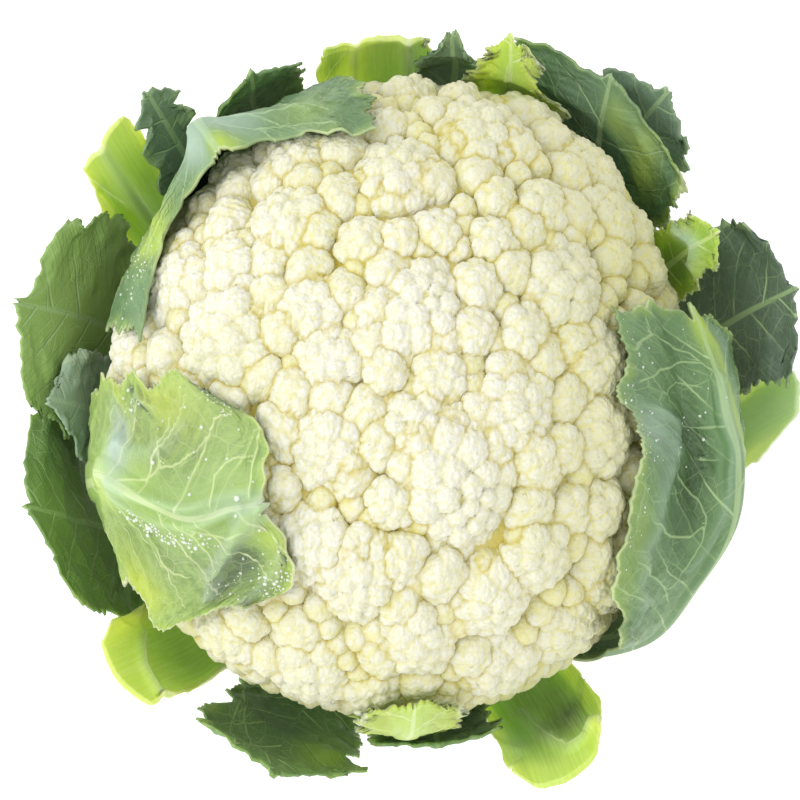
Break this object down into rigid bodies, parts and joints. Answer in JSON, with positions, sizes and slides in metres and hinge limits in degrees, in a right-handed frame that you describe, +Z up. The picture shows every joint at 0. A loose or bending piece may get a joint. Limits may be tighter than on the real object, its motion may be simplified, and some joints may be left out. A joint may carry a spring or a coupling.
{
  "type": "cauliflower",
  "caption": "Whole head of white cauliflower: a domed curd of florets on a cut stem, in a loose rosette of trimmed and torn green leaves.",
  "frame": {"origin": "centre of the stem's flat cut face, on which the head stands", "axes": "+Z up through the stem to the top of the curd, +X to the right and +Y away from the viewer's side"},
  "size_m": [0.2144, 0.2081, 0.1473],
  "materials": {
    "curd": "matte ivory, slightly translucent, yellow in the creases",
    "stem": "pale green skin with a moist cut face",
    "leaf_dark": "dark green with a waxy bloom and pale veins",
    "leaf_grey": "grey green with a waxy bloom and pale veins",
    "leaf_light": "light green with a thick pale stalk",
    "leaf_bright": "bright yellow green with pale raised veins"
  },
  "bodies": {
    "root": {"stem": "stem", "curd": "curd", "leaf_east_pale": "leaf_light", "leaf_east_dark": "leaf_dark", "leaf_northeast_far": "leaf_dark", "leaf_north_stalk": "leaf_light", "leaf_northwest_stalk": "leaf_light", "leaf_west_low": "leaf_dark", "leaf_south_dark": "leaf_dark", "leaf_southeast_stalk": "leaf_light", "leaf_north_small": "leaf_dark", "leaf_north_dark": "leaf_dark", "leaf_west_large": "leaf_dark", "leaf_southwest_stalk": "leaf_light", "leaf_south_edge": "leaf_dark", "leaf_northeast_long": "leaf_grey", "leaf_northwest_dark": "leaf_dark", "leaf_west_round": "leaf_grey", "leaf_east_small": "leaf_bright", "leaf_north_bright": "leaf_bright", "leaf_northwest_fold": "leaf_grey", "leaf_west_fold": "leaf_bright", "leaf_south_frill": "leaf_bright", "leaf_east_wrap": "leaf_grey"}
  },
  "joints": []
}
